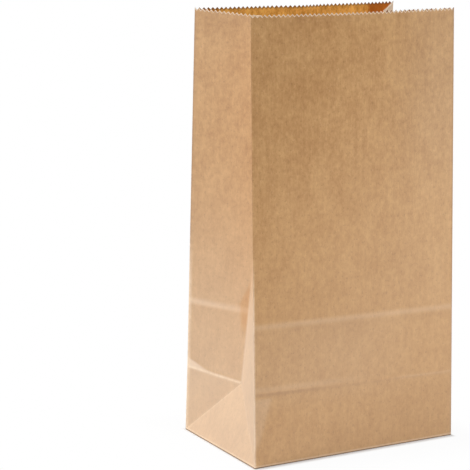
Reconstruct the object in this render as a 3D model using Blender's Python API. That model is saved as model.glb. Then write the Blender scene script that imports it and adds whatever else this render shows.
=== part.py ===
import math
import bpy
from mathutils import Vector

for item in list(bpy.data.objects):
    bpy.data.objects.remove(item)

# Driving sizes in metres. Lengths of paper are those of the flat sheet, so the
# rim is a whole number of teeth and every fold keeps the sheet's own length.
tooth_pitch = 0.00259
tooth_height = 0.0013
panel_teeth = 50
gusset_teeth = 16
bag_height = 0.245
paper = 0.00012
crease_height = 0.0388
end_tilt = math.radians(22.0)
press_depth = 0.0004
press_half_width = 0.004
flap_overlap = 0.012
flap_inset = 0.0003
front_bow = 0.006
back_bow = 0.004
crease_bow = 0.002
top_strip = 0.008

# Heights of the two pressed lines across the front, at its left and right
# edges: the foot was folded a little out of square.
lower_press = (0.041, 0.038)
upper_press = (0.0782, 0.0760)

# How far each corner of the mouth stands from the base corner under it, as
# (to the right, to the back).
front_left_lean = (0.0020, 0.0091)
front_right_lean = (0.0012, 0.0086)
back_left_lean = (0.0036, -0.0072)
back_right_lean = (0.0032, -0.0104)

panel_width = panel_teeth * tooth_pitch
half_gusset = gusset_teeth * tooth_pitch
round_teeth = 2 * panel_teeth + 4 * gusset_teeth
base_level = 2.5 * paper
foot_inset = crease_height * math.sin(end_tilt)
foot_rise = crease_height * math.cos(end_tilt)
back_tilt = half_gusset - math.sqrt(half_gusset ** 2 - foot_inset ** 2)
back_tilt = 2.0 * math.atan(back_tilt / (crease_height + foot_rise))


# The folded frame: base corners, the point on each side where the creases
# meet, the bend in the two back edges, the mouth corners and the two apexes
# where the gussets are pushed in.
def meet(a, b, c, from_a, from_b, from_c):
    """The point at three set lengths of paper from three corners, inside the bag."""
    along = (b - a).normalized()
    i = along.dot(c - a)
    across = (c - a - along * i).normalized()
    out = along.cross(across)
    gap = (b - a).length
    j = across.dot(c - a)
    x = (from_a ** 2 - from_b ** 2 + gap ** 2) / (2 * gap)
    y = (from_a ** 2 - from_c ** 2 + i ** 2 + j ** 2) / (2 * j) - i / j * x
    z = math.sqrt(from_a ** 2 - x ** 2 - y ** 2)
    picks = [a + along * x + across * y + out * (z * sign) for sign in (-1, 1)]
    return min(picks, key=lambda p: abs(p.x))


def frame_side(side, front_lean, back_lean):
    """The fold points of one gusset, side -1 for the left and 1 for the right."""
    edge = side * panel_width / 2
    front = Vector((edge, -half_gusset, base_level))
    back = Vector((edge, half_gusset, base_level))
    foot = Vector((edge - side * foot_inset, 0, base_level + foot_rise))
    bend = back + Vector((0, -math.sin(back_tilt), math.cos(back_tilt))) * crease_height
    tip = bag_height - crease_height
    drop = Vector((front_lean[0], front_lean[1], 0))
    front_top = front + drop + Vector((0, 0, math.sqrt(bag_height ** 2 - drop.length_squared)))
    drop = Vector((edge + back_lean[0] - bend.x, half_gusset + back_lean[1] - bend.y, 0))
    back_top = bend + drop + Vector((0, 0, math.sqrt(tip ** 2 - drop.length_squared)))
    apex = meet(foot, front_top, back_top, tip, half_gusset, half_gusset)
    return front, back, foot, bend, front_top, back_top, apex


left = frame_side(-1, front_left_lean, back_left_lean)
right = frame_side(1, front_right_lean, back_right_lean)


def line_height(line, u):
    """Height of a pressed line, u from left to right across the front."""
    return line[0] + (line[1] - line[0]) * u


def press(h, u):
    """Depth of the two pressed lines across the front, fading out at its edges."""
    near = min(abs(h - line_height(line, u)) for line in (lower_press, upper_press))
    return press_depth * max(0.0, 1.0 - near / press_half_width) * math.sin(math.pi * u) ** 0.5


def front_point(u, h):
    """A point of the front panel, u from left to right, h up the paper."""
    low = left[0].lerp(right[0], u)
    high = left[4].lerp(right[4], u)
    up = h / bag_height
    bow = front_bow * math.sin(math.pi * u) * up ** 2
    return low.lerp(high, up) + Vector((0, press(h, u) - bow, 0))


def back_point(u, h):
    """A point of the back panel, u from left to right."""
    crease = left[3].lerp(right[3], u)
    if h <= crease_height:
        return left[1].lerp(right[1], u).lerp(crease, h / crease_height)
    up = (h - crease_height) / (bag_height - crease_height)
    bow = back_bow * math.sin(math.pi * u) * up ** 2
    return crease.lerp(left[5].lerp(right[5], u), up) - Vector((0, bow, 0))


def gusset_point(side, end, a, h):
    """A point of one half of a gusset, a in from its front or back edge."""
    front, back, foot, bend, front_top, back_top, apex = left if side < 0 else right
    u = a / half_gusset
    slant = crease_height * u
    if h <= slant:
        low = front if end < 0 else back
        up = (foot - (front + back) / 2) / crease_height
        return low + Vector((0, -end * a, 0)) + up * h
    if end < 0:
        low = front.lerp(foot, u)
        high = front_top.lerp(apex, u)
        up = (h - slant) / (bag_height - slant)
    elif h <= crease_height:
        return back + (bend - back) * ((h - slant) / crease_height) + (foot - back) * u
    else:
        low = bend.lerp(foot, u)
        high = back_top.lerp(apex, u)
        up = (h - crease_height) / (bag_height - crease_height)
    bow = crease_bow * math.sin(math.pi * up) * u
    return low.lerp(high, up) - Vector((side * bow, 0, 0))


def sheet_point(s, h):
    """A point of the tube, s in teeth round the mouth from the front left corner."""
    s = s % round_teeth
    turns = [panel_teeth, gusset_teeth, gusset_teeth, panel_teeth, gusset_teeth, gusset_teeth]
    part = 0
    while s > turns[part]:
        s -= turns[part]
        part += 1
    a = s * tooth_pitch
    if part == 0:
        return front_point(s / panel_teeth, h)
    if part == 1:
        return gusset_point(1, -1, a, h)
    if part == 2:
        return gusset_point(1, 1, half_gusset - a, h)
    if part == 3:
        return back_point(1 - s / panel_teeth, h)
    if part == 4:
        return gusset_point(-1, 1, a, h)
    return gusset_point(-1, -1, half_gusset - a, h)


# Coarse columns round the tube, each with the way its cells are cut so the
# diagonal creases run along cell edges.
columns = []
cuts = []
begin = 0
panels = [(panel_teeth, 10, 1), (gusset_teeth, 4, 1), (gusset_teeth, 4, -1)]
for teeth, cells, cut in panels + panels:
    for k in range(cells):
        columns.append(begin + teeth * k / cells)
        cuts.append(cut)
    begin += teeth

# Rows up the sheet: four to the side crease, three about the upper pressed
# line, then even steps to the strip that carries the teeth.
rows = [crease_height * k / 4 for k in range(5)]
press_row = 4
middle_press = sum(upper_press) / 2
rows += [middle_press - press_half_width, middle_press, middle_press + press_half_width]
plain = bag_height - top_strip - rows[-1]
rows += [rows[-1] + plain * k / 5 for k in range(1, 6)]


def row_point(r, s):
    """A grid point: on the front the pressed rows follow the slanting lines."""
    h = rows[r]
    if s <= panel_teeth and r == press_row:
        h = line_height(lower_press, s / panel_teeth)
    if s <= panel_teeth and press_row < r < press_row + 4:
        h += line_height(upper_press, s / panel_teeth) - middle_press
    return sheet_point(s, h)


verts = [row_point(r, s) for r in range(len(rows)) for s in columns]
count = len(columns)
faces = [list(range(count - 1, -1, -1))]
for r in range(len(rows) - 1):
    for c in range(count):
        d = (c + 1) % count
        a0 = r * count + c
        b0 = r * count + d
        a1 = a0 + count
        b1 = b0 + count
        if cuts[c] > 0:
            faces += [[a0, b0, b1], [a0, b1, a1]]
        else:
            faces += [[a0, b0, a1], [b0, b1, a1]]

# The pinked rim: two root points to a tooth, and a tip over every other one.
top_row = (len(rows) - 1) * count
roots = len(verts)
root_count = 2 * round_teeth
verts += [sheet_point(k / 2, bag_height - tooth_height) for k in range(root_count)]
for c in range(count):
    start = round(columns[c] * 2)
    stop = round(columns[c + 1] * 2) if c + 1 < count else root_count
    middle = (start + stop) // 2
    low = top_row + c
    low_next = top_row + (c + 1) % count
    for k in range(start, stop):
        foot_of = low if k < middle else low_next
        faces.append([foot_of, roots + (k + 1) % root_count, roots + k])
    faces.append([low, low_next, roots + middle % root_count])
for k in range(round_teeth):
    verts.append(sheet_point(k, bag_height))
    tip = len(verts) - 1
    before = roots + (2 * k - 1) % root_count
    under = roots + 2 * k
    after = roots + 2 * k + 1
    faces += [[before, under, tip], [under, after, tip]]

mesh = bpy.data.meshes.new("paper_bag")
mesh.from_pydata(verts, [], faces)
bag = bpy.data.objects.new("paper_bag", mesh)
bpy.context.collection.objects.link(bag)

thick = bag.modifiers.new("paper", "SOLIDIFY")
thick.thickness = paper
thick.offset = 0.0
thick.use_even_offset = True
thick.use_quality_normals = True


# The two long bottom flaps under the base, the front one first and the back
# one over it, each cut at 45 degrees to show the folded ends of the gussets.
def flap(name, end, low, high):
    reach = half_gusset + flap_overlap
    outer = panel_width / 2 - flap_inset
    edge = half_gusset - flap_inset
    inner = panel_width / 2 - reach
    outline = [(-outer, end * edge), (outer, end * edge)]
    outline += [(inner, end * (half_gusset - reach)), (-inner, end * (half_gusset - reach))]
    points = [(x, y, z) for z in (low, high) for x, y in outline]
    sides = [[k, (k + 1) % 4, (k + 1) % 4 + 4, k + 4] for k in range(4)]
    skin = [[3, 2, 1, 0], [4, 5, 6, 7]] + sides
    if end > 0:
        skin = [face[::-1] for face in skin]
    shape = bpy.data.meshes.new(name)
    shape.from_pydata(points, [], skin)
    cutter = bpy.data.objects.new(name, shape)
    bpy.context.collection.objects.link(cutter)
    cutter.hide_render = True
    cutter.display_type = "WIRE"
    join = bag.modifiers.new(name, "BOOLEAN")
    join.operation = "UNION"
    join.solver = "EXACT"
    join.object = cutter


flap("front_flap", -1, paper, base_level + 0.1 * paper)
flap("back_flap", 1, 0.0, base_level - 0.1 * paper)

kraft = bpy.data.materials.new("kraft_paper")
kraft.use_nodes = True
shader = kraft.node_tree.nodes["Principled BSDF"]
shader.inputs["Base Color"].default_value = (0.56, 0.36, 0.19, 1.0)
shader.inputs["Roughness"].default_value = 0.85
shader.inputs["Metallic"].default_value = 0.0
mesh.materials.append(kraft)
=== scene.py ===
import bpy
import math
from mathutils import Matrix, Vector, noise


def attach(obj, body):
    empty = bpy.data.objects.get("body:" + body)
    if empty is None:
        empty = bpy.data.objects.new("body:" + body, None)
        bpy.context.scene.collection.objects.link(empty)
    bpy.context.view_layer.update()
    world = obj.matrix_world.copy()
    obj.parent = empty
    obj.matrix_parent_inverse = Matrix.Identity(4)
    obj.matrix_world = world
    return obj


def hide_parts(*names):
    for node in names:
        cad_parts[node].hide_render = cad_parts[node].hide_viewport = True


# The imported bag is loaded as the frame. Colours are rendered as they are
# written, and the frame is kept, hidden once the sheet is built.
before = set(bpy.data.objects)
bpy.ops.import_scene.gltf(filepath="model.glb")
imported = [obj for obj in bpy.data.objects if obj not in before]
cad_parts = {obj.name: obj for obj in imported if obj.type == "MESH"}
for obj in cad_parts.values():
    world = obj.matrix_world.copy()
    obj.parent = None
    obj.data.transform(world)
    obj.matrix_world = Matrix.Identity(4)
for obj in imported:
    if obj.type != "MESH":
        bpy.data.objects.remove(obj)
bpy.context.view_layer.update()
scene = bpy.context.scene
scene.view_settings.view_transform = "Standard"


# The camera stands to the left in front of the bag and looks slightly down on
# it, so that the front panel, the left side and the inside of the back show.
look_down = math.radians(11.089)
look_right = math.radians(28.502)
camera_data = bpy.data.cameras.new("camera")
camera_data.sensor_width = 36.0
camera_data.lens = 136.88
camera_data.clip_start = 0.05
camera = bpy.data.objects.new("camera", camera_data)
camera.location = (-0.5174, -0.8524, 0.3119)
camera.rotation_euler = (math.pi / 2 - look_down, 0.0, -look_right)
bpy.context.collection.objects.link(camera)
scene.camera = camera


# The folded sheet. The bag is one web of brown kraft paper made into a tube,
# with its sides tucked in, its foot folded flat and its rim cut with a
# zigzag blade. All lengths of paper are those of the flat sheet, in metres.
tooth_pitch = 0.00259
tooth_height = 0.0013
panel_teeth = 50
gusset_teeth = 16
bag_height = 0.245
paper = 0.00012
crease_height = 0.0388
end_tilt = math.radians(22.0)

# Heights of the two pressed lines across the front, at its left and right.
lower_press = (0.041, 0.038)
upper_press = (0.0782, 0.0760)

# How far the panels and creases bow, the hump of the back's rim, and how far
# each corner of the mouth leans to the right and to the back.
front_bow = 0.006
back_bow = 0.004
back_hump = 0.0036
crease_bow = 0.0036
front_left_lean = (0.0020, 0.0091)
front_right_lean = (0.0012, 0.0086)
back_left_lean = (0.0036, -0.0072)
back_right_lean = (0.0032, -0.0104)

panel_width = panel_teeth * tooth_pitch
half_gusset = gusset_teeth * tooth_pitch
round_teeth = 2 * panel_teeth + 4 * gusset_teeth
base_level = 2.5 * paper
foot_inset = crease_height * math.sin(end_tilt)
foot_rise = crease_height * math.cos(end_tilt)
back_gap = half_gusset - math.sqrt(half_gusset ** 2 - foot_inset ** 2)
back_tilt = 2.0 * math.atan(back_gap / (crease_height + foot_rise))

# The six faces of the tube in the order that they go round the bag, the teeth
# on each, and the tooth at which each begins.
FRONT, RIGHT_FRONT, RIGHT_BACK, BACK, LEFT_BACK, LEFT_FRONT = range(6)
turns = [panel_teeth, gusset_teeth, gusset_teeth, panel_teeth, gusset_teeth, gusset_teeth]
folds = [sum(turns[:k]) for k in range(6)]


def part_at(s):
    """The face of the tube that holds a place, s in teeth round the mouth."""
    return max(k for k in range(6) if folds[k] <= s)


def meet(a, b, c, from_a, from_b, from_c):
    """The point at three set lengths of paper from three corners, inside the bag."""
    along = (b - a).normalized()
    i = along.dot(c - a)
    across = (c - a - along * i).normalized()
    out = along.cross(across)
    gap = (b - a).length
    j = across.dot(c - a)
    x = (from_a ** 2 - from_b ** 2 + gap ** 2) / (2 * gap)
    y = (from_a ** 2 - from_c ** 2 + i ** 2 + j ** 2) / (2 * j) - i / j * x
    z = math.sqrt(from_a ** 2 - x ** 2 - y ** 2)
    picks = [a + along * x + across * y + out * (z * sign) for sign in (-1, 1)]
    return min(picks, key=lambda p: abs(p.x))


def frame_side(side, front_lean, back_lean):
    """The fold points of one gusset, side -1 for the left and 1 for the right."""
    edge = side * panel_width / 2
    front = Vector((edge, -half_gusset, base_level))
    back = Vector((edge, half_gusset, base_level))
    foot = Vector((edge - side * foot_inset, 0, base_level + foot_rise))
    bend = back + Vector((0, -math.sin(back_tilt), math.cos(back_tilt))) * crease_height
    tip = bag_height - crease_height
    drop = Vector((front_lean[0], front_lean[1], 0))
    rise = math.sqrt(bag_height ** 2 - drop.length_squared)
    front_top = front + drop + Vector((0, 0, rise))
    drop = Vector((edge + back_lean[0] - bend.x, half_gusset + back_lean[1] - bend.y, 0))
    rise = math.sqrt(tip ** 2 - drop.length_squared)
    back_top = bend + drop + Vector((0, 0, rise))
    apex = meet(foot, front_top, back_top, tip, half_gusset, half_gusset)
    return front, back, foot, bend, front_top, back_top, apex


left = frame_side(-1, front_left_lean, back_left_lean)
right = frame_side(1, front_right_lean, back_right_lean)


def waves(x, y, seed):
    """Slow uneven swells of handled paper, about -1 to 1."""
    first = noise.noise(Vector((x * 22.0, y * 14.0, seed)))
    second = noise.noise(Vector((x * 55.0, y * 38.0, seed + 7.3)))
    return 1.3 * first + 0.5 * second


def channel(h, line, half_width):
    """Round-bottomed profile of a pressed line, 1 on the line and 0 beside it."""
    near = abs(h - line) / half_width
    return 0.5 + 0.5 * math.cos(math.pi * near) if near < 1 else 0.0


def line_height(line, u):
    """Height of a pressed line, u from left to right across the front."""
    return line[0] + (line[1] - line[0]) * u


def side_press(u):
    """Height of the upper pressed line on a gusset, u in from the panel's edge."""
    return upper_press[0] + 0.002 * u


def fade(x, low, high):
    """0 below low, 1 above high, smooth between; the other way round if high is less."""
    t = max(0.0, min(1.0, (x - low) / (high - low)))
    return t * t * (3 - 2 * t)


def front_point(u, h):
    """A point of the front panel, u from left to right, h up the paper."""
    low = left[0].lerp(right[0], u)
    high = left[4].lerp(right[4], u)
    up = h / bag_height
    middle = math.sin(math.pi * u)
    bow = front_bow * middle * up ** 2
    edge = min(1.0, 6.0 * middle)
    dent = 0.00025 * channel(h, line_height(lower_press, u), 0.0018) * edge
    dent += 0.0002 * channel(h, line_height(upper_press, u), 0.0024) * edge
    swell = 0.0006 * waves(u * panel_width, h, 1.0) * edge * min(1.0, h / 0.03)
    return low.lerp(high, up) + Vector((0, dent - bow + swell, 0))


def back_point(u, h):
    """A point of the back panel, u from left to right."""
    crease = left[3].lerp(right[3], u)
    if h <= crease_height:
        return left[1].lerp(right[1], u).lerp(crease, h / crease_height)
    up = (h - crease_height) / (bag_height - crease_height)
    middle = math.sin(math.pi * u)
    bow = back_bow * middle * up ** 2 + back_hump * channel(u, 0.49, 0.15) * up ** 6
    edge = min(1.0, 4.0 * middle) * min(1.0, 4.0 * up)
    swell = 0.0008 * waves(u * panel_width, h, 5.0) * edge
    return crease.lerp(left[5].lerp(right[5], u), up) - Vector((0, bow + swell, 0))


def gusset_point(side, end, a, h):
    """A point of one half of a gusset, a in from its front or back edge."""
    front, back, foot, bend, front_top, back_top, apex = left if side < 0 else right
    u = a / half_gusset
    slant = crease_height * u
    if h <= slant:
        low = front if end < 0 else back
        up = (foot - (front + back) / 2) / crease_height
        return low + Vector((0, -end * a, 0)) + up * h
    if end < 0:
        low = front.lerp(foot, u)
        high = front_top.lerp(apex, u)
        up = (h - slant) / (bag_height - slant)
    elif h <= crease_height:
        return back + (bend - back) * ((h - slant) / crease_height) + (foot - back) * u
    else:
        low = bend.lerp(foot, u)
        high = back_top.lerp(apex, u)
        up = (h - crease_height) / (bag_height - crease_height)
    middle = math.sin(math.pi * u)
    bow = crease_bow * math.sin(math.pi * up) * u
    swell = 0.0005 * waves(a, h, 11.0 + side + 2 * end) * middle * min(1.0, 5 * up)
    dent = 0.0002 * channel(h, side_press(u), 0.002) * middle
    return low.lerp(high, up) - Vector((side * (bow + swell + dent), 0, 0))


def sheet_point(s, h):
    """A point of the tube, s in teeth round the mouth from the front left corner."""
    part = part_at(s)
    s -= folds[part]
    a = s * tooth_pitch
    if part == FRONT:
        return front_point(s / panel_teeth, h)
    if part == RIGHT_FRONT:
        return gusset_point(1, -1, a, h)
    if part == RIGHT_BACK:
        return gusset_point(1, 1, half_gusset - a, h)
    if part == BACK:
        return back_point(1 - s / panel_teeth, h)
    if part == LEFT_BACK:
        return gusset_point(-1, 1, a, h)
    return gusset_point(-1, -1, half_gusset - a, h)


# Wear and painted light on the paper, 0 to 1 each: rubbed folds with a painted
# highlight along them, pale pressed bands with painted light in a few places,
# pale areas that are partly painted light, painted shade in dents and along
# dark edges, painted shade in the depth of the inside, and the strip beside the
# gusset's crease, painted shade with painted light coming through. The fringe
# is 1 where the cut rim is fluffed pale and 0 where its teeth have painted shade.
wear_and_light_kinds = ("rubbed", "pressed", "pale", "hollow", "depth_shade", "fold_shade", "fringe")
fold_wear_and_light = 0.0013
full_press = 2.2


def front_wear_and_light(wear_and_light, at, h):
    """Wear, painted light and painted shade of the front panel, at in from its left edge."""
    u = at / panel_width
    upper = h - line_height(upper_press, u)
    lower = h - line_height(lower_press, u)
    if u > 0.5:
        wear_and_light["rubbed"] = 0.0

    # One pale band on the upper line. On the lower one a pale band over a dark line
    # at the left, and a thin pale line at the right. The dark lines under both
    # pressed lines are painted shade, strongest at the left of the lower one.
    pressed = 0.6 * channel(upper, -0.0002, 0.0027)
    pressed += 0.38 * channel(lower, 0.0022, 0.0030) * fade(u, 0.62, 0.28)
    pressed += 0.45 * channel(lower, 0.0, 0.0012) * fade(u, 0.62, 0.78)
    hollow = wear_and_light["hollow"]
    hollow += 0.55 * channel(lower, -0.0004, 0.0012) * fade(u, 0.42, 0.2)
    hollow += 0.15 * channel(lower, -0.0008, 0.0012) * fade(u, 0.2, 0.42)
    hollow += 0.12 * channel(upper, -0.0036, 0.0016)

    # The panel is painted paler towards its foot and its right and a little darker
    # at the top left: painted light and painted shade. It has the tucked corner of
    # the gusset's end behind its foot.
    pale = 0.24 * fade(0.4 * u + 0.7 * (1.0 - h / bag_height), 0.1, 0.85)
    pale += 0.09 * fade(upper, 0.002, -0.004) * fade(u, 0.9, 0.4) * fade(h, 0.025, 0.045)
    pale += 0.10 * fade(u, 0.6, 0.9) * fade(h, 0.12, 0.20)
    hollow += 0.16 * fade(u, 0.5, 0.0) * fade(h, 0.11, 0.21)
    tuck = 0.0045 + 0.30 * (h - 0.018)
    beside = fade(at, tuck + 0.0014, tuck - 0.0014)
    pale += 0.19 * beside * fade(h, 0.039, 0.037) * fade(h, 0.006, 0.016)
    wear_and_light.update(pressed=pressed, hollow=hollow, pale=pale)


def back_wear_and_light(wear_and_light, at, h):
    """Wear, painted highlight and painted shade of the back panel, at in from its right edge."""
    u = 1.0 - at / panel_width
    level_fold = 0.8 * (1.0 - abs(h - crease_height) / fold_wear_and_light)
    wear_and_light["rubbed"] = max(wear_and_light["rubbed"], level_fold)
    # Painted shade in the depth of the inside at the back's right end, weaker at its left end.
    wear_and_light["depth_shade"] = max(fade(u, 0.852, 0.868), 0.6 * fade(u, 0.12, 0.05))


def gusset_wear_and_light(wear_and_light, part, a, h):
    """Wear, painted light and painted shade of one half of a gusset, a in from its front or back
    edge.
    """
    u = a / half_gusset
    slant = crease_height * u
    back = part in (RIGHT_BACK, LEFT_BACK)
    rubbed = wear_and_light["rubbed"]
    if h > crease_height:
        rubbed = max(rubbed, 0.3 * (1.0 - (half_gusset - a) / fold_wear_and_light))
    rubbed = max(rubbed, (0.35 if back else 0.12) * (1.0 - abs(h - slant) / 0.0016))
    wear_and_light["rubbed"] = rubbed
    # The right gusset's inside has painted shade, full on its front half.
    wear_and_light["depth_shade"] = {RIGHT_FRONT: 1.0, RIGHT_BACK: 0.25}.get(part, 0.0)
    # The end triangle at the foot is painted pale: painted light on its face that tilts up.
    if h < slant:
        wear_and_light["pale"] = 0.76
        return
    if not back:
        # The front half is paler below the pressed line than above it: painted light.
        lower_pale = 0.62 if part == LEFT_FRONT else 0.25
        wear_and_light["pale"] = 0.24 + lower_pale * fade(h, 0.118, 0.070)
        return
    wear_and_light["rubbed"] = max(rubbed, 1.2 * (1.0 - abs(h - crease_height) / 0.0014))
    pressed = (1.45 - 0.6 * u) * channel(h, side_press(u), 0.0032)
    # The back half is paler towards its foot: painted light.
    pale = 0.25 + 0.36 * fade(h, 0.18, 0.03)
    # At the top of the right back half a pale band: painted light.
    if part == RIGHT_BACK:
        pressed = max(pressed, full_press * fade(h, 0.215, 0.235))
    if part == LEFT_BACK:
        # A patch worn flat, widest at the back edge, just over the level crease.
        wedge = 0.0060 * max(0.0, 1.0 - a / 0.026) ** 1.4
        above = h - crease_height
        worn_flat = fade(above, wedge, wedge - 0.0014) * fade(above, 0.0, 0.0008)
        worn_flat *= 0.4 + 0.6 * fade(a, 0.016, 0.005)
        pressed = max(pressed, 1.6 * worn_flat)
        pale += 0.5 * worn_flat

    # The strip of painted shade, with painted light coming through, is widest at its middle and
    # narrows up and down.
    fold_shade_middle = 0.083
    strip = 0.85 + 11.0 * max(0.0, h - fold_shade_middle) + 4.4 * max(0.0, fold_shade_middle - h)
    wear_and_light["fold_shade"] = fade(u, strip - 0.03, strip + 0.02) * fade(h, 0.062, 0.074)
    # Below the level crease the back half is painted pale: painted light.
    if h < crease_height:
        pale = 0.64
        pressed = 0.60
    wear_and_light.update(pressed=pressed, pale=pale)


def marks(s, h):
    """All kinds of wear and painted light at a point of the flat sheet, in the order of the kinds
    above.
    """
    part = part_at(s)
    at = (s - folds[part]) * tooth_pitch
    reach = turns[part] * tooth_pitch
    low_down = fade(h, 0.125, 0.085)
    corner = at if part in (RIGHT_FRONT, LEFT_BACK) else reach - at
    if part in (FRONT, BACK):
        corner = min(at, reach - at)
    width = {FRONT: 0.0007, LEFT_BACK: 0.0026}.get(part, fold_wear_and_light)
    wear_and_light = dict.fromkeys(wear_and_light_kinds, 0.0)
    # Folds are rubbed pale with a painted highlight along them, stronger lower down.
    wear_and_light["rubbed"] = (1.0 - corner / width) * (0.12 + 0.88 * low_down)
    # The teeth of the right front half and of the back have painted shade at their tips.
    wear_and_light["fringe"] = 0.0 if part in (RIGHT_FRONT, BACK) else 1.0
    # Painted shade along the upper back left corner and along the front's right edge.
    if part == LEFT_BACK:
        wear_and_light["hollow"] = 0.85 * fade(at, 0.0014, 0.0004) * (1.0 - low_down)
    if part == RIGHT_FRONT and at == 0.0:
        wear_and_light.update(rubbed=0.0, hollow=0.8)
    if part == FRONT:
        front_wear_and_light(wear_and_light, at, h)
    elif part == BACK:
        back_wear_and_light(wear_and_light, at, h)
    else:
        gusset_wear_and_light(wear_and_light, part, corner, h)
    wear_and_light["pressed"] /= full_press
    return [max(0.0, min(1.0, wear_and_light[kind])) for kind in wear_and_light_kinds]


# The grid follows the half teeth round the bag, and the folds at its foot run
# through grid points. Rows are closer at the pressed lines and at the rim.
foot_rows = 32
steps = 2 * round_teeth
columns = [k / 2 for k in range(steps)]
rows = [crease_height * k / foot_rows for k in range(foot_rows + 1)]

# Over the foot, each band of rows goes up to a height in steps of one size.
over_crease = (crease_height + 0.0065, 0.0007)
under_press = (upper_press[1] - 0.006, 0.0018)
over_press = (upper_press[0] + 0.006, 0.0008)
under_rim = (bag_height - 0.006, 0.003)
for stop, step in (over_crease, under_press, over_press, under_rim):
    while rows[-1] < stop:
        rows.append(rows[-1] + step)
rows += [bag_height - 0.0025, bag_height]

# How far from a pressed line its slant still moves the rows.
line_reach = 0.012


def row_height(h, s):
    """Height of a row at a column: on the front it follows the slanting pressed lines."""
    if s > panel_teeth:
        return h
    for line in (lower_press, upper_press):
        middle = (line[0] + line[1]) / 2
        tent = max(0.0, 1.0 - abs(h - middle) / line_reach)
        h += (line_height(line, s / panel_teeth) - middle) * tent
    return h


# The rim's points also hold the way down the paper, for the zigzag cut.
down_step = 0.002
verts = []
heights = []
downs = []
rims = []
worn_and_lit = []
for row in rows:
    for s in columns:
        h = row_height(row, s)
        top = row == bag_height
        point = sheet_point(s, h)
        verts.append(point)
        heights.append(h)
        worn_and_lit.append(marks(s, h))
        rims.append(1.0 if top else 0.0)
        down = (sheet_point(s, h - down_step) - point).normalized() if top else Vector((0, 0, -1))
        downs.append(down)
rounds = columns * len(rows)

# The flat place of each corner is its distance round the bag from the glued
# lap on the back, and its height, both in metres of paper. The foot's is its
# place under the bag, moved clear of the tube's.
lap_at = folds[BACK] + 36.0
foot_shift = 0.5
faces = []
flat = []
for r in range(len(rows) - 1):
    for c in range(steps):
        d = (c + 1) % steps
        a0, b0 = r * steps + c, r * steps + d
        a1, b1 = a0 + steps, b0 + steps
        s0 = ((columns[c] - lap_at) % round_teeth) * tooth_pitch
        s1 = s0 + tooth_pitch / 2
        if part_at(columns[c]) in (RIGHT_BACK, LEFT_FRONT):
            cut = (a0, b0, a1), (b0, b1, a1)
        else:
            cut = (a0, b0, b1), (a0, b1, a1)
        faces += cut
        flat += [(s0 if k in (a0, a1) else s1, heights[k]) for face in cut for k in face]
foot_ring = range(steps - 1, -1, -1)
faces.append(tuple(foot_ring))
flat += [(verts[k].x + foot_shift, verts[k].y) for k in foot_ring]

sheet_mesh = bpy.data.meshes.new("sheet")
sheet_mesh.from_pydata(verts, [], faces)
flat_map = sheet_mesh.uv_layers.new(name="flat")
for corner, place in zip(flat_map.data, flat):
    corner.uv = place
spots = dict(zip(wear_and_light_kinds, zip(*worn_and_lit)))
for name, values in {"round": rounds, "rim": rims, **spots}.items():
    layer = sheet_mesh.attributes.new(name, "FLOAT", "POINT")
    layer.data.foreach_set("value", values)
layer = sheet_mesh.attributes.new("down", "FLOAT_VECTOR", "POINT")
layer.data.foreach_set("vector", [x for v in downs for x in v])
sheet = bpy.data.objects.new("folded_sheet", sheet_mesh)
bpy.context.collection.objects.link(sheet)


# Shader maths on node sockets: a small wrapper with the usual operators.
class Wire:
    def __init__(self, tree, socket):
        self.tree = tree
        self.socket = socket

    def node(self, kind, settings, sockets, out=0):
        return add_node(self.tree, kind, settings, sockets, out)

    def math(self, operation, *others, clamp=False):
        sockets = dict(enumerate([self, *others]))
        return self.node("ShaderNodeMath", {"operation": operation, "use_clamp": clamp}, sockets)

    def __add__(self, other):
        return self.math("ADD", other)

    def __radd__(self, other):
        return self.math("ADD", other)

    def __sub__(self, other):
        return self.math("SUBTRACT", other)

    def __rsub__(self, other):
        return self.node("ShaderNodeMath", {"operation": "SUBTRACT"}, {0: other, 1: self})

    def __mul__(self, other):
        return self.math("MULTIPLY", other)

    def __rmul__(self, other):
        return self.math("MULTIPLY", other)

    def __pow__(self, other):
        return self.math("POWER", other)

    def ramp(self, low, high):
        """The node form of fade."""
        kind = "ShaderNodeMapRange"
        settings = {"interpolation_type": "SMOOTHSTEP"}
        return self.node(kind, settings, {"Value": self, "From Min": low, "From Max": high})


def add_node(tree, kind, settings, sockets, out=0):
    """A new node with its settings, the values or links of its sockets, and one output."""
    made = tree.nodes.new(kind)
    for key, value in settings.items():
        setattr(made, key, value)
    for key, value in sockets.items():
        if isinstance(value, Wire):
            tree.links.new(value.socket, made.inputs[key])
        else:
            made.inputs[key].default_value = value
    return Wire(tree, made.outputs[out])


def mix_colour(tree, factor, first, second):
    """Mix of two colours by a factor, each a wire or a value."""
    sockets = {0: factor, 6: first, 7: second}
    return add_node(tree, "ShaderNodeMix", {"data_type": "RGBA"}, sockets, 2)


# The kraft paper. Unbleached pulp, cloudy where the fibres lie thicker, with
# faint upright streaks along the machine direction, single pale and dark
# fibres and specks, rubbed pale folds with a painted highlight along them and a
# fuzzy pale edge where it is cut, and painted shade at some teeth and the foot.
fold_tone = (0.93, 0.76, 0.58, 1)
pressed_tone = (0.90, 0.71, 0.53, 1)
fold_shade_tone = (0.56, 0.25, 0.075, 1)
cut_tone = (0.92, 0.80, 0.64, 1)
tip_shade_tone = (0.17, 0.08, 0.04, 1)
foot_shadow_tone = (0.19, 0.11, 0.06, 1)
thin_pulp = (0.66, 0.55, 0.40)
thick_pulp = (1.31, 1.46, 1.76)
inner_glow = 0.37

# How far from the paper's edge each band begins and is full: the fluff and the
# painted shade on the tips at the rim, and the rubbed line with its painted
# highlight and the painted contact shadow at the foot.
rim_fluff = (0.0010, 0.0003)
tip_shade_band = (0.0016, 0.0007)
foot_rub_and_highlight = (0.0017, 0.0010)
foot_shadow = (0.0007, 0.0003)


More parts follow.
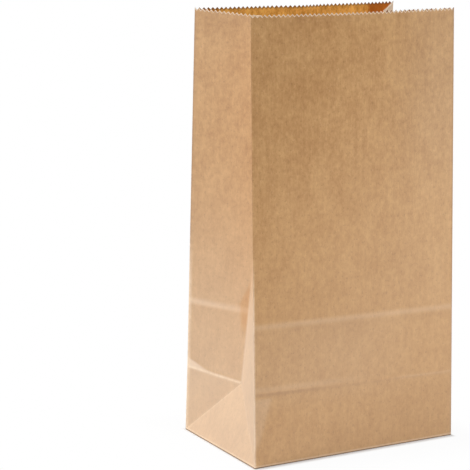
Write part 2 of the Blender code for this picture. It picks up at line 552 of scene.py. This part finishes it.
def kraft(name, tone, pale_tone, dark_tone, contrast, inside):
    """The paper's material; the inside has painted shade in its depth and a painted glow of light
    through the paper towards its mouth.
    """
    paint = bpy.data.materials.new(name)
    paint.use_nodes = True
    tree = paint.node_tree
    shader = tree.nodes["Principled BSDF"]
    place = add_node(tree, "ShaderNodeUVMap", {"uv_map": "flat"}, {})
    height = add_node(tree, "ShaderNodeSeparateXYZ", {}, {0: place}, 1)

    def mark(which):
        """A value that the mesh holds at its points."""
        return add_node(tree, "ShaderNodeAttribute", {"attribute_name": which}, {}, 2)

    def grain(stretch, detail, rough, seed):
        """Noise over the flat sheet, about -0.5 to 0.5, finer for a larger stretch."""
        sockets = {0: place, "Scale": stretch, "Location": (seed, seed, 0)}
        moved = add_node(tree, "ShaderNodeMapping", {}, sockets)
        sockets = {"Vector": moved, "Scale": 1.0, "Detail": detail, "Roughness": rough}
        return add_node(tree, "ShaderNodeTexNoise", {"noise_dimensions": "2D"}, sockets) - 0.5

    streak = grain((900, 26, 1), 2.0, 0.6, 0.0)
    cloud = grain((340, 250, 1), 3.0, 0.6, 5.7)
    patch = grain((90, 60, 1), 2.0, 0.5, 3.1)
    swell = grain((26, 18, 1), 2.0, 0.5, 9.2)
    fibre = grain((1100, 520, 1), 3.0, 0.75, 13.0)
    fleck = grain((700, 560, 1), 1.0, 0.5, 17.0)

    # The pulp itself, a little more uneven higher up, with flecks and fibres.
    lift = streak * 0.14 + cloud * 0.52 + patch * 0.34 + swell * 0.18 + fibre * 0.40
    uneven = height.ramp(0.06, 0.22) * 0.45 + 0.9
    level = (lift * contrast * uneven + 0.5).math("ADD", 0.0, clamp=True)
    dark = tuple(x * k for x, k in zip(tone, thin_pulp)) + (1.0,)
    light = tuple(min(1.0, x * k) for x, k in zip(tone, thick_pulp)) + (1.0,)
    colour = mix_colour(tree, level, dark, light)
    colour = mix_colour(tree, fleck.ramp(0.17, 0.27) * 0.24, colour, dark_tone)
    colour = mix_colour(tree, fibre.ramp(0.19, 0.30) * 0.20, colour, pale_tone)

    # Painted shade, pale areas partly painted light, pressed lines, and the crease strip's
    # painted shade.
    colour = mix_colour(tree, mark("hollow") * 0.55, colour, dark_tone)
    colour = mix_colour(tree, mark("pale") * 0.42, colour, pale_tone)
    colour = mix_colour(tree, mark("pressed") * 0.62, colour, pressed_tone)
    colour = mix_colour(tree, mark("fold_shade") * 0.36, colour, fold_shade_tone)

    # The cut rim is fluffed pale, or has painted shade at the tips of its teeth.
    rim = height.ramp(bag_height - rim_fluff[0], bag_height - rim_fluff[1])
    tip = 1.0 - mark("round").math("PINGPONG", 0.5) * 1.3
    low_rim = height.ramp(bag_height - tip_shade_band[0], bag_height - tip_shade_band[1])
    shaded_tips = (low_rim * tip * (1.0 - mark("fringe"))).math("MAXIMUM", 0.0)
    if inside:
        # Painted shade in the depth of the inside.
        colour = mix_colour(tree, mark("depth_shade") * 0.85, colour, dark_tone)
        # A painted glow of light through the paper, brighter towards the mouth and dimmed at the
        # shaded tips.
        lit = (height.ramp(0.12, 0.225) * 0.75 + 0.25) * (1.0 - shaded_tips * 0.9)
        glow = mix_colour(tree, lit, (0, 0, 0, 1), colour)
        tree.links.new(glow.socket, shader.inputs["Emission Color"])
        shader.inputs["Emission Strength"].default_value = inner_glow
    # Rubbed folds, with a painted highlight along them.
    rubbed = mark("rubbed") ** 1.3 * (0.9 + cloud)
    colour = mix_colour(tree, rubbed.math("MULTIPLY", 0.8, clamp=True), colour, fold_tone)
    colour = mix_colour(tree, rim * mark("fringe") * 0.8, colour, cut_tone)
    colour = mix_colour(tree, shaded_tips * 0.85, colour, tip_shade_tone)

    # The fold round the foot: a rubbed line with a painted highlight, over a
    # painted contact shadow.
    colour = mix_colour(tree, height.ramp(*foot_rub_and_highlight) * 0.30, colour, fold_tone)
    colour = mix_colour(tree, height.ramp(*foot_shadow) * 0.85, colour, foot_shadow_tone)
    tree.links.new(colour.socket, shader.inputs["Base Color"])
    rough = 0.72 + cloud * 0.2 - mark("pressed") * 0.08
    tree.links.new(rough.socket, shader.inputs["Roughness"])
    shader.inputs["Specular IOR Level"].default_value = 0.3
    grainy = streak * 0.4 + fibre * 0.5 + cloud * 0.9
    sockets = {"Strength": 0.3, "Distance": paper, "Height": grainy}
    bump = add_node(tree, "ShaderNodeBump", {}, sockets)
    tree.links.new(bump.socket, shader.inputs["Normal"])
    return paint


outer_tone = (0.556, 0.303, 0.1125)
outer_pale = (0.86, 0.80, 0.72, 1)
outer_dark = (0.24, 0.10, 0.035, 1)
# The inside's copy of the paper is a deeper orange: painted light that passes through the paper
# and bounces inside the bag.
inner_tone = (0.645, 0.35, 0.078)
inner_pale = (0.90, 0.66, 0.30, 1)
inner_dark = (0.30, 0.075, 0.001, 1)
outer_paper = kraft("kraft_outside", outer_tone, outer_pale, outer_dark, 0.92, False)
inner_paper = kraft("kraft_inside", inner_tone, inner_pale, inner_dark, 1.9, True)


# The pinked rim. A zigzag blade cuts all layers at once, so the edge is a
# triangle wave of the distance round the mouth, a tip on each whole tooth.
teeth = bpy.data.node_groups.new("pinked_rim", "GeometryNodeTree")
teeth.interface.new_socket("Geometry", in_out="INPUT", socket_type="NodeSocketGeometry")
teeth.interface.new_socket("Tooth Height", in_out="INPUT", socket_type="NodeSocketFloat")
teeth.interface.new_socket("Paper", in_out="INPUT", socket_type="NodeSocketMaterial")
teeth.interface.new_socket("Geometry", in_out="OUTPUT", socket_type="NodeSocketGeometry")
given = teeth.nodes.new("NodeGroupInput")
shape = Wire(teeth, given.outputs[0])
depth = Wire(teeth, given.outputs[1])
paint = Wire(teeth, given.outputs[2])


def stored(kind, name):
    """A value that the mesh holds at its points, for the geometry."""
    return add_node(teeth, "GeometryNodeInputNamedAttribute", {"data_type": kind}, {0: name})


wave = stored("FLOAT", "round").math("PINGPONG", 0.5) * 2.0
cut = wave * depth * stored("FLOAT", "rim")
down = stored("FLOAT_VECTOR", "down")
shift = add_node(teeth, "ShaderNodeVectorMath", {"operation": "SCALE"}, {0: down, "Scale": cut})
moved = add_node(teeth, "GeometryNodeSetPosition", {}, {"Geometry": shape, "Offset": shift})
real = add_node(teeth, "GeometryNodeRealizeInstances", {}, {0: moved})
dyed = add_node(teeth, "GeometryNodeSetMaterial", {}, {0: real, "Material": paint})
given_out = teeth.nodes.new("NodeGroupOutput")
teeth.links.new(dyed.socket, given_out.inputs[0])

pinking = sheet.modifiers.new("pinking", "NODES")
pinking.node_group = teeth
for item in teeth.interface.items_tree:
    if item.in_out == "INPUT" and item.name == "Tooth Height":
        pinking[item.identifier] = tooth_height
    if item.in_out == "INPUT" and item.name == "Paper":
        pinking[item.identifier] = outer_paper
graph = bpy.context.evaluated_depsgraph_get()
cut_mesh = bpy.data.meshes.new_from_object(sheet.evaluated_get(graph))
sheet.modifiers.clear()
sheet.data = cut_mesh

# The one thickness of paper. The inner face takes the inside's material, and
# the folds sharper than a bow stay crisp.
soft_bend = math.radians(14.0)
cut_mesh.materials.clear()
cut_mesh.materials.append(outer_paper)
cut_mesh.materials.append(inner_paper)
layer = sheet.modifiers.new("paper", "SOLIDIFY")
layer.thickness = paper
layer.offset = 0.0
layer.use_even_offset = True
layer.material_offset = 1
graph = bpy.context.evaluated_depsgraph_get()
thick_mesh = bpy.data.meshes.new_from_object(sheet.evaluated_get(graph))
sheet.modifiers.clear()
sheet.data = thick_mesh
thick_mesh.name = "folded_sheet"
for face in thick_mesh.polygons:
    face.use_smooth = True
thick_mesh.set_sharp_from_angle(angle=soft_bend)
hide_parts("paper_bag")
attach(sheet, "root")


# The two long bottom flaps, folded under the foot of the bag and glued, the
# front one first and the back one over it. Each is cut at 45 degrees.
flap_overlap = 0.012
flap_inset = 0.0003
glue_gap = 0.00001
flap_shift = 0.3


def bottom_flap(name, end, low, high):
    """One flap, end -1 for the front and 1 for the back, between two heights."""
    reach = half_gusset + flap_overlap
    outer = panel_width / 2 - flap_inset
    edge = half_gusset - flap_inset
    inner = panel_width / 2 - reach
    outline = [(-outer, end * edge), (outer, end * edge)]
    outline += [(inner, end * (half_gusset - reach)), (-inner, end * (half_gusset - reach))]
    points = [(x, y, z) for z in (low, high) for x, y in outline]
    sides = [[k, (k + 1) % 4, (k + 1) % 4 + 4, k + 4] for k in range(4)]
    skin = [[3, 2, 1, 0], [4, 5, 6, 7]] + sides
    if end > 0:
        skin = [face[::-1] for face in skin]
    mesh = bpy.data.meshes.new(name)
    mesh.from_pydata(points, [], skin)
    layer = mesh.uv_layers.new(name="flat")
    for loop in mesh.loops:
        at = points[loop.vertex_index]
        layer.data[loop.index].uv = (at[0] + foot_shift, at[1] - flap_shift * end)
    mesh.materials.append(outer_paper)
    flap = bpy.data.objects.new(name, mesh)
    bpy.context.collection.objects.link(flap)
    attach(flap, "root")


bottom_flap("front_bottom_flap", -1, paper, 2.0 * paper - glue_gap)
bottom_flap("back_bottom_flap", 1, 0.0, paper - glue_gap)


# The pale floor. To the camera it is white, and just beside the bag's foot it
# keeps part of its own shade, so that the bag's contact shadow stays.
floor_half = 4.0
own_share = 0.35
floor_mesh = bpy.data.meshes.new("floor")
floor_corners = [(-1, -1), (1, -1), (1, 1), (-1, 1)]
floor_points = [(x * floor_half, y * floor_half, 0) for x, y in floor_corners]
floor_mesh.from_pydata(floor_points, [], [(0, 1, 2, 3)])
floor = bpy.data.objects.new("floor", floor_mesh)
bpy.context.collection.objects.link(floor)
floor_paint = bpy.data.materials.new("floor")
floor_paint.use_nodes = True
tree = floor_paint.node_tree
shader = tree.nodes["Principled BSDF"]
shader.inputs["Base Color"].default_value = (0.86, 0.84, 0.83, 1)
shader.inputs["Roughness"].default_value = 0.9
shader.inputs["Specular IOR Level"].default_value = 0.0
own = Wire(tree, shader.outputs[0])
bright = add_node(tree, "ShaderNodeEmission", {}, {"Color": (1, 1, 1, 1), "Strength": 1.0})
path = add_node(tree, "ShaderNodeLightPath", {}, {}, "Is Camera Ray")
spot = add_node(tree, "ShaderNodeTexCoord", {}, {}, "Object")
spot_x = add_node(tree, "ShaderNodeSeparateXYZ", {}, {0: spot}, 0)
spot_y = add_node(tree, "ShaderNodeSeparateXYZ", {}, {0: spot}, 1)
away_x = (spot_x.math("ABSOLUTE") - panel_width / 2) * 2.0
away_y = spot_y.math("ABSOLUTE") - half_gusset
away = away_x.math("MAXIMUM", away_y)
share = away.ramp(0.0004, 0.0040) * 0.61 + away.ramp(0.004, 0.05) * 0.04 + own_share
both = add_node(tree, "ShaderNodeMixShader", {}, {0: path * share, 1: own, 2: bright})
tree.links.new(both.socket, tree.nodes["Material Output"].inputs["Surface"])
floor_mesh.materials.append(floor_paint)


# The room: even and white to the camera, and a weak fill on the bag.
world = bpy.data.worlds.new("room")
scene.world = world
world.use_nodes = True
tree = world.node_tree
room = add_node(tree, "ShaderNodeBackground", {}, {"Color": (1, 1, 1, 1), "Strength": 0.20})
backdrop = add_node(tree, "ShaderNodeBackground", {}, {"Color": (1, 1, 1, 1), "Strength": 1.0})
seen = add_node(tree, "ShaderNodeLightPath", {}, {}, "Is Camera Ray")
both = add_node(tree, "ShaderNodeMixShader", {}, {0: seen, 1: room, 2: backdrop})
tree.links.new(both.socket, tree.nodes["World Output"].inputs["Surface"])


# The lamps: a large one high up behind the bag's left, one at the left for its
# side, a weak one low at the right for its front, and a small one at its foot.
def lamp(name, place, aim, size, power):
    """A square soft lamp that looks at a point."""
    data = bpy.data.lights.new(name, "AREA")
    data.shape = "SQUARE"
    data.size = size
    data.energy = power
    light = bpy.data.objects.new(name, data)
    light.location = place
    light.rotation_euler = (Vector(aim) - Vector(place)).to_track_quat("-Z", "Y").to_euler()
    bpy.context.collection.objects.link(light)


lamp("high_lamp", (-0.9, 0.5, 1.4), (0, 0, 0.05), 1.0, 24.0)
lamp("side_lamp", (-1.3, -0.3, 0.45), (0, 0, 0.08), 0.7, 4.9)
lamp("low_lamp", (0.32, -0.40, 0.08), (0.03, 0, 0.08), 0.25, 1.4)
lamp("foot_lamp", (-0.02, -0.26, 0.02), (-0.01, -0.04, 0.02), 0.12, 0.070)

bpy.context.view_layer.update()
